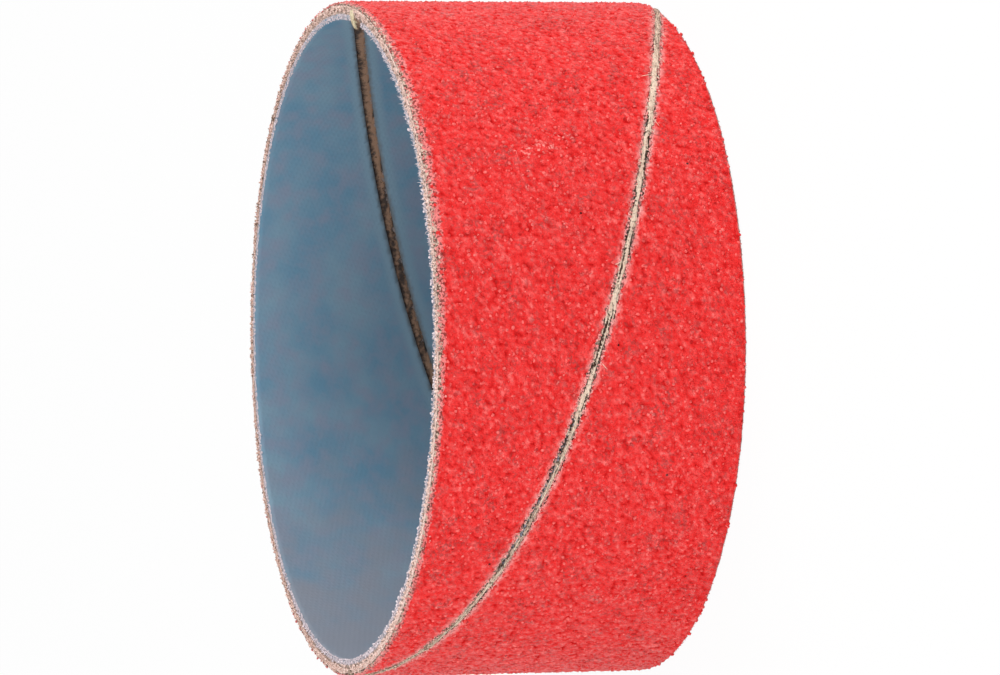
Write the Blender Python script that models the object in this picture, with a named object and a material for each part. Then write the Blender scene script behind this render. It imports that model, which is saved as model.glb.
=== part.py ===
"""Sanding sleeve: a short tube of two slanted strips, wound one over the other and glued.

Units are metres. +Z runs along the tube, which stands on its end at z = 0, and the origin is the
middle of that end. Each strip is drawn flat, as it is cut, and then rolled up, so its two long edges
meet in a seam that climbs round the tube.
"""

import math

import bmesh
import bpy

# Driving dimensions of the sleeve
SLEEVE_LENGTH = 0.025
BORE_DIAMETER = 0.0514

# The lining, from the bore outwards
LINING_THICKNESS = 0.00045
LINING_PITCH = 0.0487
LINING_SEAM_GAP = 0.0008
LINING_SEAM_AZIMUTH = 76.1

# The glue line is the clearance between the two strips
GLUE_LINE = 0.00025

# The coated abrasive: its cloth, the grain on it and the way it is wound
ABRASIVE_CLOTH_THICKNESS = 0.00045
GRAIN_THICKNESS = 0.00035
ABRASIVE_PITCH = 0.0525
ABRASIVE_SEAM_GAP = 0.0004
ABRASIVE_SEAM_AZIMUTH = -95.3

# How far the grain has chipped back from the strip's cut edges
GRAIN_CHIP_AT_RIM = 0.00045
GRAIN_CHIP_AT_SEAM = 0.00025

# Flats round the full circle
FACETS = 144

# Colours in linear light
GRAIN_RED = (0.79, 0.035, 0.035)
LINING_BLUE = (0.085, 0.195, 0.28)


def clear_scene():
    """Remove whatever objects the file holds."""
    for thing in list(bpy.data.objects):
        bpy.data.objects.remove(thing, do_unlink=True)


def make_material(name, color, roughness):
    """A plain surface with the piece's own colour."""
    material = bpy.data.materials.new(name)
    material.use_nodes = True
    shader = material.node_tree.nodes["Principled BSDF"]
    shader.inputs["Base Color"].default_value = (*color, 1.0)
    shader.inputs["Roughness"].default_value = roughness
    shader.inputs["Metallic"].default_value = 0.0
    material.diffuse_color = (*color, 1.0)
    return material


class Strip:
    """A strip of cloth wound on the slant, from its flat cut shape to the rolled tube.

    The pitch is measured square across the strip, from one seam edge to the next, so it is the
    strip's width and one seam gap. The azimuth is where the seam crosses the middle of the sleeve's
    length, in degrees from +X towards +Y.
    """

    def __init__(self, inner_radius, pitch, seam_gap, seam_azimuth):
        self.inner_radius = inner_radius
        self.seam_gap = seam_gap
        self.seam_arc = inner_radius * math.radians(seam_azimuth)
        self.circumference = 2.0 * math.pi * inner_radius
        self.slant = math.asin(pitch / self.circumference)
        self.arc_per_height = 1.0 / math.tan(self.slant)

    def outline(self, rim_inset, seam_inset):
        """The flat strip's four corners, as arc and height, inset from the rims and from the seam."""
        half_gap = (self.seam_gap / 2.0 + seam_inset) / math.sin(self.slant)
        corners = []
        for height, near_edge in (
            (rim_inset, True),
            (rim_inset, False),
            (SLEEVE_LENGTH - rim_inset, False),
            (SLEEVE_LENGTH - rim_inset, True),
        ):
            seam = self.seam_arc - (height - SLEEVE_LENGTH / 2.0) * self.arc_per_height
            edge = half_gap if near_edge else self.circumference - half_gap
            corners.append((seam + edge, height))
        return corners

    def flat_solid(self, layers):
        """The strip lying flat, its depth along +Z, through layers of depth, rim inset and seam inset."""
        bm = bmesh.new()
        rings = []
        for depth, rim_inset, seam_inset in layers:
            corners = self.outline(rim_inset, seam_inset)
            rings.append([bm.verts.new((arc, height, depth)) for arc, height in corners])
        for lower, upper in zip(rings, rings[1:]):
            for i in range(4):
                j = (i + 1) % 4
                bm.faces.new((lower[i], lower[j], upper[j], upper[i]))
        bm.faces.new(rings[0])
        bm.faces.new(rings[-1])
        bmesh.ops.recalc_face_normals(bm, faces=bm.faces)
        return bm

    def crease(self, bm):
        """Cut the flat solid along every line where a flat of the tube ends."""
        facet_arc = self.circumference / FACETS
        arcs = [v.co.x for v in bm.verts]
        first = math.floor(min(arcs) / facet_arc) + 1
        last = math.ceil(max(arcs) / facet_arc)
        for k in range(first, last):
            bmesh.ops.bisect_plane(
                bm,
                geom=bm.verts[:] + bm.edges[:] + bm.faces[:],
                dist=1e-9,
                plane_co=(k * facet_arc, 0.0, 0.0),
                plane_no=(1.0, 0.0, 0.0),
            )

    def roll(self, bm):
        """Bend the flat solid round the tube's axis, with its depth pointing outwards."""
        for v in bm.verts:
            arc, height, depth = v.co
            angle = arc / self.inner_radius
            radius = self.inner_radius + depth
            v.co = (radius * math.cos(angle), radius * math.sin(angle), height)


def add_strip(name, strip, layers, material):
    """Roll one strip and put it in the scene as a piece of its own."""
    bm = strip.flat_solid(layers)
    strip.crease(bm)
    strip.roll(bm)
    mesh = bpy.data.meshes.new(name)
    bm.to_mesh(mesh)
    bm.free()
    mesh.materials.append(material)
    mesh.shade_smooth()
    mesh.set_sharp_from_angle(angle=math.radians(30.0))
    piece = bpy.data.objects.new(name, mesh)
    bpy.context.collection.objects.link(piece)
    return piece


def add_lining():
    """The blue cloth that the drum touches."""
    strip = Strip(BORE_DIAMETER / 2.0, LINING_PITCH, LINING_SEAM_GAP, LINING_SEAM_AZIMUTH)
    layers = [(0.0, 0.0, 0.0), (LINING_THICKNESS, 0.0, 0.0)]
    return add_strip("lining_strip", strip, layers, make_material("lining_cloth", LINING_BLUE, 0.85))


def add_abrasive():
    """The coated abrasive, whose grain ends short of its cut edges on a ragged slope."""
    inner_radius = BORE_DIAMETER / 2.0 + LINING_THICKNESS + GLUE_LINE
    strip = Strip(inner_radius, ABRASIVE_PITCH, ABRASIVE_SEAM_GAP, ABRASIVE_SEAM_AZIMUTH)
    layers = [
        (0.0, 0.0, 0.0),
        (ABRASIVE_CLOTH_THICKNESS, 0.0, 0.0),
        (ABRASIVE_CLOTH_THICKNESS + GRAIN_THICKNESS, GRAIN_CHIP_AT_RIM, GRAIN_CHIP_AT_SEAM),
    ]
    return add_strip("abrasive_strip", strip, layers, make_material("red_grain", GRAIN_RED, 0.5))


def main():
    """Build the sleeve from the bore outwards."""
    clear_scene()
    add_lining()
    add_abrasive()


main()
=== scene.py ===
"""The looks of a spiral sanding sleeve: red grain, frayed cloth edges and a blue lining.

Everything is laid out flat first, as the strips are cut, and then rolled up with the same winding as
the solids of the frame. In the flat layout X is the arc round the tube, Y the height along it and Z
the depth outwards, all in metres.
"""

from __future__ import annotations

import logging
import math
from collections.abc import Iterator
from contextlib import contextmanager
from dataclasses import dataclass, field, replace
from enum import Enum

import bpy
import numpy as np
from mathutils import Matrix, Vector, noise


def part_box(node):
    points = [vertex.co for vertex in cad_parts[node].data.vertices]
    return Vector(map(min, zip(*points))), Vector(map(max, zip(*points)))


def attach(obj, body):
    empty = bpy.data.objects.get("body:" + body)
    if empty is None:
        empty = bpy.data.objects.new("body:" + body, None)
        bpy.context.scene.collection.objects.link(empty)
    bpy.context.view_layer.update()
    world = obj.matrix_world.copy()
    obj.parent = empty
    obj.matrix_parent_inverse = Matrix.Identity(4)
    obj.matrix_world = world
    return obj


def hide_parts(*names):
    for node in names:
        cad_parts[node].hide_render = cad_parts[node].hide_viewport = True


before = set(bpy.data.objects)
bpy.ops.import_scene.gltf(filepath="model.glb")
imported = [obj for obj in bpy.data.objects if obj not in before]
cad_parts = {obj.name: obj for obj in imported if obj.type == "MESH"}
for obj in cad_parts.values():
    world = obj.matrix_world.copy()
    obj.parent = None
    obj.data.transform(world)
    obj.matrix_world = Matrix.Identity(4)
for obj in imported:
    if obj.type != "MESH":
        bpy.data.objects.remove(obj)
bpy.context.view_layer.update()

MM = 0.001
TINY = 1e-6
# One in this many of a rim's loose pieces goes to the clean-cut lower end
LOWER_EVERY = 4
BODY = "root"
Color = tuple[float, float, float]
log = logging.getLogger("sleeve")


class Slot(Enum):
    """The record's material slots."""

    GRAIN = "grain"
    LINING = "lining_cloth"


class Side(Enum):
    """Which side of a flat strip is in view once it is rolled."""

    OUTER = 1
    BORE = -1


def smoothstep(low: float, high: float, values: np.ndarray) -> np.ndarray:
    """Ease values from 0 at low to 1 at high."""
    t = np.clip((values - low) / (high - low), 0.0, 1.0)
    return t * t * (3.0 - 2.0 * t)


def read_points(mesh: bpy.types.Mesh) -> np.ndarray:
    """Read where a mesh's vertices are.

    Args:
        mesh: The mesh.

    Returns:
        Rows of x, y and z.
    """
    flat = np.empty(len(mesh.vertices) * 3, np.float32)
    mesh.vertices.foreach_get("co", flat)
    return flat.reshape(-1, 3).astype(float)


def write_points(mesh: bpy.types.Mesh, points: np.ndarray) -> None:
    """Move the mesh's vertices to new places."""
    mesh.vertices.foreach_set("co", points.astype(np.float32).ravel())
    mesh.update()


def write_values(mesh: bpy.types.Mesh, name: str, values: np.ndarray) -> None:
    """Keep one number for each vertex under a name that materials can read."""
    layer = mesh.attributes.new(name, "FLOAT", "POINT")
    layer.data.foreach_set("value", values.astype(np.float32))


def read_values(mesh: bpy.types.Mesh, name: str) -> np.ndarray:
    """Read the numbers that were kept for the vertices.

    Args:
        mesh: The mesh.
        name: The name that they are kept under.

    Returns:
        One number for each vertex.
    """
    values = np.empty(len(mesh.vertices), np.float32)
    mesh.attributes[name].data.foreach_get("value", values)
    return values


def lumps(points: np.ndarray, size: float, layer: float = 0.0) -> np.ndarray:
    """Smooth noise over the flat layout.

    Args:
        points: Rows whose first two columns are arc and height.
        size: The width of one lump, in metres.
        layer: Picks another pattern of the same kind.

    Returns:
        Values from about -1 to 1.
    """
    return np.array([noise.noise(Vector((x / size, y / size, layer))) for x, y in points[:, :2].tolist()])


def new_piece(name: str, mesh: bpy.types.Mesh | bpy.types.Curve) -> bpy.types.Object:
    """Put a mesh or curve in the scene as an object at the origin.

    Args:
        name: The piece's name.
        mesh: Its mesh or curve.

    Returns:
        The object.
    """
    piece = bpy.data.objects.new(name, mesh)
    bpy.context.scene.collection.objects.link(piece)
    return piece


def select_only(piece: bpy.types.Object) -> None:
    """Make one piece the selected and active object.

    Args:
        piece: The piece.
    """
    bpy.ops.object.select_all(action="DESELECT")
    piece.select_set(True)
    bpy.context.view_layer.objects.active = piece


@contextmanager
def edited(piece: bpy.types.Object) -> Iterator[None]:
    """Hold one piece in edit mode while the block runs.

    Args:
        piece: The piece.

    Yields:
        Nothing.
    """
    select_only(piece)
    bpy.ops.object.mode_set(mode="EDIT")
    yield
    bpy.ops.object.mode_set(mode="OBJECT")


# Node graphs


class Graph:
    """A material's node tree, grown one node at a time."""

    def __init__(self, name: str) -> None:
        """Start a material with only its Principled shader.

        Args:
            name: The material's name.
        """
        self.material = bpy.data.materials.new(name)
        self.material.use_nodes = True
        self.nodes = self.material.node_tree.nodes
        self.links = self.material.node_tree.links
        self.surface = self.nodes["Principled BSDF"]
        self.place = self.add("ShaderNodeTexCoord", {}).outputs["Object"]

    def feed(self, node: bpy.types.Node, socket: str | int, value: object) -> None:
        """Link a socket to an input, or set the input to a plain value.

        Args:
            node: The node that is fed.
            socket: The input's name or number.
            value: A socket or a plain value.
        """
        target = node.inputs[socket]
        if isinstance(value, bpy.types.NodeSocket):
            self.links.new(value, target)
        else:
            target.default_value = value

    def add(self, kind: str, inputs: dict, **settings: object) -> bpy.types.Node:
        """Add a node.

        Args:
            kind: The node's type.
            inputs: What to feed to each of its inputs.
            settings: The node's own properties.

        Returns:
            The node.
        """
        node = self.nodes.new(kind)
        for key, value in settings.items():
            setattr(node, key, value)
        for socket, value in inputs.items():
            self.feed(node, socket, value)
        return node

    def math(self, operation: str, first: object, second: object = 0.0) -> bpy.types.NodeSocket:
        """One arithmetic step."""
        return self.add("ShaderNodeMath", {0: first, 1: second}, operation=operation).outputs[0]

    def times(self, first: object, second: object) -> bpy.types.NodeSocket:
        """The product of two values."""
        return self.math("MULTIPLY", first, second)

    def plus(self, first: object, second: object) -> bpy.types.NodeSocket:
        """The sum of two values."""
        return self.math("ADD", first, second)

    def minus(self, first: object, second: object) -> bpy.types.NodeSocket:
        """The first value less the second."""
        return self.math("SUBTRACT", first, second)

    def larger(self, first: object, second: object) -> bpy.types.NodeSocket:
        """The larger of two values."""
        return self.math("MAXIMUM", first, second)

    def ease(self, value: object, low: float, high: float) -> bpy.types.NodeSocket:
        """Ease a value from 0 at low to 1 at high. Low may be the larger of the two."""
        inputs = {"Value": value, "From Min": low, "From Max": high}
        return self.add("ShaderNodeMapRange", inputs, interpolation_type="SMOOTHSTEP").outputs["Result"]

    def mix(self, share: object, first: object, second: object) -> bpy.types.NodeSocket:
        """Blend two colours."""
        inputs = {0: share, 6: as_rgba(first), 7: as_rgba(second)}
        return self.add("ShaderNodeMix", inputs, data_type="RGBA").outputs[2]

    def speckle(self, size: float, detail: float = 2.0) -> bpy.types.NodeSocket:
        """Soft noise from 0 to 1 whose lumps are about this wide, in metres."""
        inputs = {"Vector": self.place, "Scale": 1.0 / size, "Detail": detail}
        return self.add("ShaderNodeTexNoise", inputs).outputs["Fac"]

    def grains(self, size: float) -> bpy.types.Node:
        """Cells about this wide, in metres, one for each grain."""
        return self.add("ShaderNodeTexVoronoi", {"Vector": self.place, "Scale": 1.0 / size})

    def value_of(self, name: str) -> bpy.types.NodeSocket:
        """A number kept on the mesh's vertices."""
        return self.add("ShaderNodeAttribute", {}, attribute_name=name).outputs["Fac"]

    def axis(self, name: str) -> bpy.types.NodeSocket:
        """One of the surface's own coordinates, X, Y or Z, in metres."""
        return self.add("ShaderNodeSeparateXYZ", {0: self.place}).outputs[name]

    def bump(self, height: object, depth: float) -> None:
        """Give the surface a relief of this depth, in metres."""
        node = self.add("ShaderNodeBump", {"Height": height, "Distance": depth})
        self.feed(self.surface, "Normal", node.outputs["Normal"])

    def finish(self, color: object, roughness: object, shine: object) -> bpy.types.Material:
        """Feed the shader.

        Args:
            color: A plain colour or a socket.
            roughness: A number or a socket.
            shine: The specular level, as a number or a socket.

        Returns:
            The finished material.
        """
        self.feed(self.surface, "Base Color", as_rgba(color))
        self.feed(self.surface, "Roughness", roughness)
        self.feed(self.surface, "Specular IOR Level", shine)
        return self.material


def as_rgba(color: object) -> object:
    """A plain colour with its alpha, or a socket as it is."""
    return (*color, 1.0) if isinstance(color, tuple) else color


# Finishes


@dataclass(frozen=True)
class GrainFinish:
    """Red resin over grain, chipped to pink and tan along the strip's cut edges, with painted shade in its
    hollows, dents and pits, and partly painted highlights on its tips and glints.
    """

    name: str = "red_grain"
    body: Color = (0.745, 0.026, 0.025)
    hollow_shade: Color = (0.42, 0.006, 0.007)
    tip_and_highlight: Color = (0.95, 0.19, 0.17)
    bare_and_glint: Color = (0.95, 0.30, 0.27)
    dusty: Color = (0.36, 0.044, 0.042)
    pit_shade: Color = (0.035, 0.006, 0.006)
    chipped: Color = (0.78, 0.20, 0.19)
    chipped_shade: Color = (0.24, 0.04, 0.035)
    lip: Color = (0.84, 0.33, 0.31)
    cloth: Color = (0.66, 0.47, 0.38)
    cloth_shade: Color = (0.12, 0.065, 0.045)

    def make(self) -> bpy.types.Material:
        """Build the node tree.

        Returns:
            The material.
        """
        g = Graph(self.name)
        rise = g.value_of("rise")
        shade = g.grains(0.3 * MM).outputs["Color"]
        tone = g.add("ShaderNodeSeparateColor", {"Color": shade}).outputs["Red"]
        fine = g.speckle(0.15 * MM, 2.0)
        # Painted shade: the hollows between grains, and the low spots of the fine relief, take the dark
        # hollow colour.
        color = g.mix(g.ease(rise, 0.40, -0.1), self.body, self.hollow_shade)
        color = g.mix(g.times(g.ease(fine, 0.48, 0.30), 0.5), color, self.hollow_shade)
        # Grain tops turn to the tip colour: partly paler tips where the resin is thin, partly painted
        # highlight.
        lit = g.times(g.ease(rise, 0.38, 0.85), g.ease(g.plus(tone, fine), 0.3, 1.6))
        color = g.mix(g.times(lit, 0.8), color, self.tip_and_highlight)
        patch = g.ease(g.speckle(1.5 * MM, 3.0), 0.38, 0.76)
        dull = g.times(patch, g.ease(g.speckle(0.26 * MM, 2.0), 0.44, 0.60))
        color = g.mix(g.times(dull, 0.80), color, self.dusty)
        # Painted shade: small dark dents.
        dents = g.ease(g.grains(1.6 * MM).outputs["Distance"], 0.13, 0.08)
        color = g.mix(g.times(dents, 0.8), color, self.hollow_shade)
        # Painted highlights: small pale glints on the grain. The scuffs below bare the grain, which is real
        # wear.
        jagged = g.plus(g.grains(0.66 * MM).outputs["Distance"], g.times(fine, 0.9))
        spots = g.times(g.ease(jagged, 0.62, 0.40), g.ease(tone, 0.35, 1.3))
        scuffed = g.plus(g.times(g.value_of("scuff"), 0.25), g.speckle(0.26 * MM, 2.0))
        spots = g.larger(spots, g.times(g.ease(scuffed, 0.68, 0.82), 0.85))
        color = g.mix(spots, color, self.bare_and_glint)
        # Painted shade: near-black pits.
        holes = g.ease(g.grains(2.3 * MM).outputs["Distance"], 0.050, 0.032)
        color = g.mix(holes, color, self.pit_shade)
        color = self.wear_edges(g, color)
        relief = g.plus(g.speckle(0.30 * MM, 2.0), g.times(fine, 0.9))
        g.bump(relief, 0.12 * MM)
        roughness = g.ease(g.speckle(0.3 * MM), -0.1, 1.2)
        shine = g.times(g.ease(rise, 0.1, 0.8), 0.42)
        return g.finish(color, roughness, shine)

    def wear_edges(self, g: Graph, color: object) -> bpy.types.NodeSocket:
        """Chip the colour away along the seam and the rims.

        Args:
            g: The material's graph.
            color: The colour of the whole face.

        Returns:
            The colour with its chipped edges.
        """
        ragged = g.minus(g.speckle(0.35 * MM, 3.0), 0.5)
        seam = g.plus(g.value_of("past_seam"), g.times(ragged, 0.5))
        rim = g.plus(g.value_of("past_rim"), g.times(ragged, 1.1))
        blush = g.times(g.ease(seam, 0.55, 0.0), g.ease(g.speckle(0.6 * MM), 0.36, 0.62))
        color = g.mix(g.times(blush, 0.7), color, self.lip)
        chips = g.mix(g.ease(g.speckle(0.22 * MM, 2.0), 0.58, 0.48), self.chipped_shade, self.chipped)
        color = g.mix(g.ease(rim, 0.90, 0.68), color, chips)
        bare_lip = g.times(g.ease(seam, 0.14, 0.04), g.ease(g.speckle(0.5 * MM), 0.46, 0.58))
        color = g.mix(bare_lip, color, self.lip)
        yarn = g.mix(g.ease(g.speckle(0.25 * MM, 2.0), 0.58, 0.46), self.cloth_shade, self.cloth)
        color = g.mix(g.ease(rim, 0.38, 0.20), color, yarn)
        return g.mix(g.ease(g.value_of("buried"), 0.1, 0.45), color, self.cloth_shade)


@dataclass(frozen=True)
class YarnFinish:
    """Undyed yarn and cloth edges, stained in places, and paler on the side towards the camera, which is
    painted light.
    """

    name: str
    pale: Color
    deep: Color
    stain: Color = (0.14, 0.09, 0.055)
    stain_from: float = 0.58
    cleaner_below: float = 0.09

    def make(self) -> bpy.types.Material:
        """Build the node tree.

        Returns:
            The material.
        """
        g = Graph(self.name)
        # Painted light: the yarn is paler towards -Y, the side that faces the camera and the front lamps.
        lit_near_side = g.times(g.ease(g.axis("Y"), 15.0 * MM, -27.0 * MM), 0.14)
        light = g.ease(g.plus(g.speckle(0.18 * MM, 3.0), lit_near_side), 0.38, 0.70)
        color = g.mix(light, self.deep, self.pale)
        clean = g.times(g.ease(g.axis("X"), 2.0 * MM, -20.0 * MM), self.cleaner_below)
        speck_noise = g.minus(g.speckle(0.30 * MM, 3.0), clean)
        dirty = g.ease(speck_noise, self.stain_from, self.stain_from + 0.08)
        color = g.mix(g.times(dirty, 0.85), color, self.stain)
        relief = g.plus(g.speckle(0.20 * MM, 2.0), g.times(g.speckle(0.08 * MM), 0.3))
        g.bump(relief, 0.12 * MM)
        return g.finish(color, 0.85, 0.25)


@dataclass(frozen=True)
class RibbonFinish:
    """The seam's matted yarn: cream, tan in places, with the blue lining's fluff on one side, and painted
    shade along its edges, in its sunk dark marks and in small holes.
    """

    name: str
    clean: Color
    tan_and_shadow: Color
    fluff: Color
    # Dark brown: grime, and the painted shade at the ribbon's edges, in its dark marks and in its holes.
    grime_and_shade: Color = (0.052, 0.030, 0.020)
    dark_spots_from: float = 0.58
    shaded_edge_past: float = 0.25

    def make(self) -> bpy.types.Material:
        """Build the node tree.

        Returns:
            The material.
        """
        g = Graph(self.name)
        mottle = g.minus(g.speckle(0.35 * MM, 3.0), 0.5)
        fleck = g.minus(g.speckle(0.16 * MM, 2.0), 0.5)
        # Tan: tanned yarn on the seam's ribbon; on the glue line, painted shadow along its upper edge and
        # dark blots.
        tan = g.ease(g.plus(g.value_of("tan"), mottle), 0.25, 0.75)
        color = g.mix(tan, self.clean, self.tan_and_shadow)
        woolly = g.times(g.value_of("fluff"), 0.55)
        blue = g.ease(g.plus(woolly, g.times(mottle, 2.0)), 0.35, 0.60)
        color = g.mix(blue, color, self.fluff)
        # Painted shade: the ribbon darkens towards its edges, where it meets the seam's dark gap.
        shaded_edge = g.plus(g.math("ABSOLUTE", g.value_of("across")), g.times(mottle, 0.7))
        color = g.mix(g.ease(shaded_edge, self.shaded_edge_past, self.shaded_edge_past + 0.08), color, self.grime_and_shade)
        # Painted shade in the sunk dark marks, broken up by uneven noise.
        uneven = g.plus(g.times(mottle, 1.2), g.times(fleck, 1.8))
        crack = g.plus(g.times(g.value_of("dark"), 0.85), uneven)
        color = g.mix(g.ease(crack, 0.46, 0.60), color, self.grime_and_shade)
        # Dark spots: painted shade in small holes of the ribbon, dark specks on the glue.
        speck_noise = g.plus(g.speckle(0.22 * MM, 2.0), g.times(tan, 0.07))
        spots = g.ease(speck_noise, self.dark_spots_from, self.dark_spots_from + 0.07)
        color = g.mix(g.times(spots, 0.8), color, self.grime_and_shade)
        g.bump(g.speckle(0.07 * MM, 3.0), 0.05 * MM)
        return g.finish(color, 0.9, 0.2)


@dataclass(frozen=True)
class LiningFinish:
    """Blue cloth, mottled by glue and rubbed pale at its cut edges, with painted light that makes it lighter
    and greyer low in the bore, and a painted highlight along its seam's edges.
    """

    name: str = "blue_lining"
    body: Color = (0.112, 0.236, 0.338)
    pale: Color = (0.185, 0.288, 0.368)
    plum: Color = (0.205, 0.240, 0.322)
    lower_lit_grey: Color = (0.215, 0.235, 0.282)
    cut_edge: Color = (0.62, 0.53, 0.56)
    glued: Color = (0.42, 0.31, 0.26)
    smear: Color = (0.120, 0.122, 0.126)
    yarn_pitch: float = 0.42 * MM

    def make(self) -> bpy.types.Material:
        """Build the node tree.

        Returns:
            The material.
        """
        g = Graph(self.name)
        cloth = g.add("ShaderNodeUVMap", {}, uv_map="cloth").outputs["UV"]
        color = g.mix(g.ease(g.speckle(5.0 * MM, 4.0), 0.32, 0.72), self.body, self.pale)
        color = g.mix(g.times(g.ease(g.speckle(1.6 * MM, 4.0), 0.36, 0.74), 0.8), color, self.plum)
        # Painted light: towards -X the bore turns lighter and greyer, where light falls on its lower wall.
        height = g.plus(g.axis("X"), g.times(g.speckle(3.5 * MM, 3.0), 24.0 * MM))
        color = g.mix(g.ease(height, 4.0 * MM, -14.0 * MM), color, self.lower_lit_grey)
        # Painted highlight: paler along the seam's edges of the lining.
        color = g.mix(g.ease(g.value_of("past_seam"), 1.2, 0.5), color, self.pale)
        edge = g.plus(g.value_of("past_seam"), g.times(g.speckle(0.6 * MM), 0.4))
        color = g.mix(g.times(g.ease(edge, 0.62, 0.12), 0.85), color, self.smear)
        rubbed = g.ease(g.plus(g.value_of("past_rim"), g.speckle(0.25 * MM)), 0.62, 0.42)
        color = g.mix(rubbed, color, self.cut_edge)
        color = g.mix(g.ease(g.value_of("buried"), 0.55, 0.75), color, self.glued)
        scale = 0.314 / (self.yarn_pitch / MM)
        inputs = {"Vector": cloth, "Scale": scale, "Distortion": 0.6, "Detail Scale": 2.0}
        warp = g.add("ShaderNodeTexWave", inputs, bands_direction="X").outputs["Fac"]
        weft = g.add("ShaderNodeTexWave", inputs, bands_direction="Y").outputs["Fac"]
        weave = g.times(warp, weft)
        g.bump(g.plus(weave, g.times(g.speckle(0.3 * MM), 1.6)), 0.014 * MM)
        return g.finish(color, 0.72, 0.3)


@dataclass(frozen=True)
class FloorFinish:
    """White paper that the camera sees as plain white, with the sleeve's shadow kept faintly."""

    name: str = "white_paper"
    paper: Color = (0.92, 0.92, 0.92)
    glow: float = 0.95

    def make(self) -> bpy.types.Material:
        """Build the node tree.

        Returns:
            The material.
        """
        g = Graph(self.name)
        g.finish(self.paper, 0.9, 0.1)
        path = g.add("ShaderNodeLightPath", {})
        seen = g.larger(path.outputs["Is Camera Ray"], path.outputs["Is Glossy Ray"])
        seen = g.larger(seen, path.outputs["Is Transmission Ray"])
        light = g.add("ShaderNodeEmission", {"Color": (1.0, 1.0, 1.0, 1.0), "Strength": 1.0})
        share = g.times(seen, self.glow)
        shaders = {0: share, 1: g.surface.outputs["BSDF"], 2: light.outputs["Emission"]}
        both = g.add("ShaderNodeMixShader", shaders)
        output = g.nodes["Material Output"]
        g.links.new(both.outputs["Shader"], output.inputs["Surface"])
        return g.material


# The flat layout and how it rolls up


@dataclass(frozen=True)
class Winding:
    """How one strip is wound: its inner radius, its pitch across and the seam that it leaves."""

    inner_radius: float
    pitch: float
    seam_gap: float
    seam_azimuth: float
    length: float
    cleaner: float = 4.0
    rim_wear: float = 0.42
    more_wear: float = 0.5
    less_wear: float = 0.12
    most_worn_azimuth: float = -55.0
    scuff_width: float = 0.6 * MM
    scuff_length: float = 1.1 * MM
    # Azimuth in degrees, height in mm and strength
    scuffs: tuple[tuple[float, float, float], ...] = (
        (-56.9, 15.1, 1.0),
        (-55.0, 13.6, 0.8),
        (-58.0, 16.6, 0.7),
    )

    @property
    def circumference(self) -> float:
        """The arc of one full turn."""
        return 2.0 * math.pi * self.inner_radius

    @property
    def slant(self) -> float:
        """The angle between the strip and the tube's end, in radians."""
        return math.asin(self.pitch / self.circumference)

    @property
    def half_gap(self) -> float:
        """Half of the seam's gap, along the arc."""
        return self.seam_gap / 2.0 / math.sin(self.slant)

    def seam_arc(self, height: np.ndarray | float) -> np.ndarray | float:
        """The arc of the seam's middle at a height."""
        middle = self.inner_radius * math.radians(self.seam_azimuth)
        return middle - (height - self.length / 2.0) / math.tan(self.slant)

    def past_seam(self, points: np.ndarray) -> np.ndarray:
        """How far each point lies from the strip's nearest seam edge, square across, in metres."""
        arc = np.mod(points[:, 0] - self.seam_arc(points[:, 1]), self.circumference)
        return np.minimum(arc, self.circumference - arc) * math.sin(self.slant) - self.seam_gap / 2.0

    def seam_side(self, points: np.ndarray) -> np.ndarray:
        """Which edge of the strip each point is nearer to: 1 for the low edge and -1 for the high one."""
        arc = np.mod(points[:, 0] - self.seam_arc(points[:, 1]), self.circumference)
        return np.where(arc < self.circumference / 2.0, 1.0, -1.0)

    def past_rim(self, points: np.ndarray) -> np.ndarray:
        """How far each point lies from the nearer end, the clean-cut lower end counting as farther away."""
        return np.minimum(points[:, 1] * self.cleaner, self.length - points[:, 1])

    def worn(self, arc: np.ndarray | float) -> np.ndarray | float:
        """How worn the rims are: most above the outer seam, least on the far side.

        Args:
            arc: One arc or many.

        Returns:
            The wear at each arc, about 1 at its most.
        """
        azimuth = arc / self.inner_radius
        most = np.maximum(np.cos(azimuth - math.radians(self.most_worn_azimuth)), 0.0) ** 4
        least = np.maximum(np.sin(azimuth), 0.0)
        return self.rim_wear + self.more_wear * most - self.less_wear * least

    def scuff(self, points: np.ndarray) -> np.ndarray:
        """How scuffed each point is.

        Args:
            points: Flat points.

        Returns:
            Values from 0 to 1.
        """
        total = np.zeros(len(points))
        for azimuth, height, strength in self.scuffs:
            turn = points[:, 0] / self.inner_radius - math.radians(azimuth)
            turn = np.mod(turn + math.pi, 2.0 * math.pi) - math.pi
            aside = turn * self.inner_radius / self.scuff_width
            along = (points[:, 1] - height * MM) / self.scuff_length
            total = np.maximum(total, strength * np.exp(-(aside**2) - along**2))
        return total

    def roll(self, points: np.ndarray) -> np.ndarray:
        """Bend flat points round the tube's axis.

        Args:
            points: Rows of arc, height and depth.

        Returns:
            Rows of x, y and z.
        """
        angle = points[:, 0] / self.inner_radius
        radius = self.inner_radius + points[:, 2]
        return np.stack([radius * np.cos(angle), radius * np.sin(angle), points[:, 1]], 1)

    def wrap(self, arc: np.ndarray, height: np.ndarray, depth: np.ndarray) -> np.ndarray:
        """Roll up points whose three coordinates come one by one."""
        return self.roll(np.stack([arc, height, depth], 1))

    def spots(self, rng: np.random.Generator, count: int) -> np.ndarray:
        """Pick random places on the strip.

        Args:
            rng: The source of the random draws.
            count: How many places.

        Returns:
            Rows of arc and height.
        """
        height = rng.uniform(0.0, self.length, count)
        turn = rng.uniform(self.half_gap, self.circumference - self.half_gap, count)
        arc = self.seam_arc(height) + turn
        return np.stack([arc, height], 1)


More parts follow.
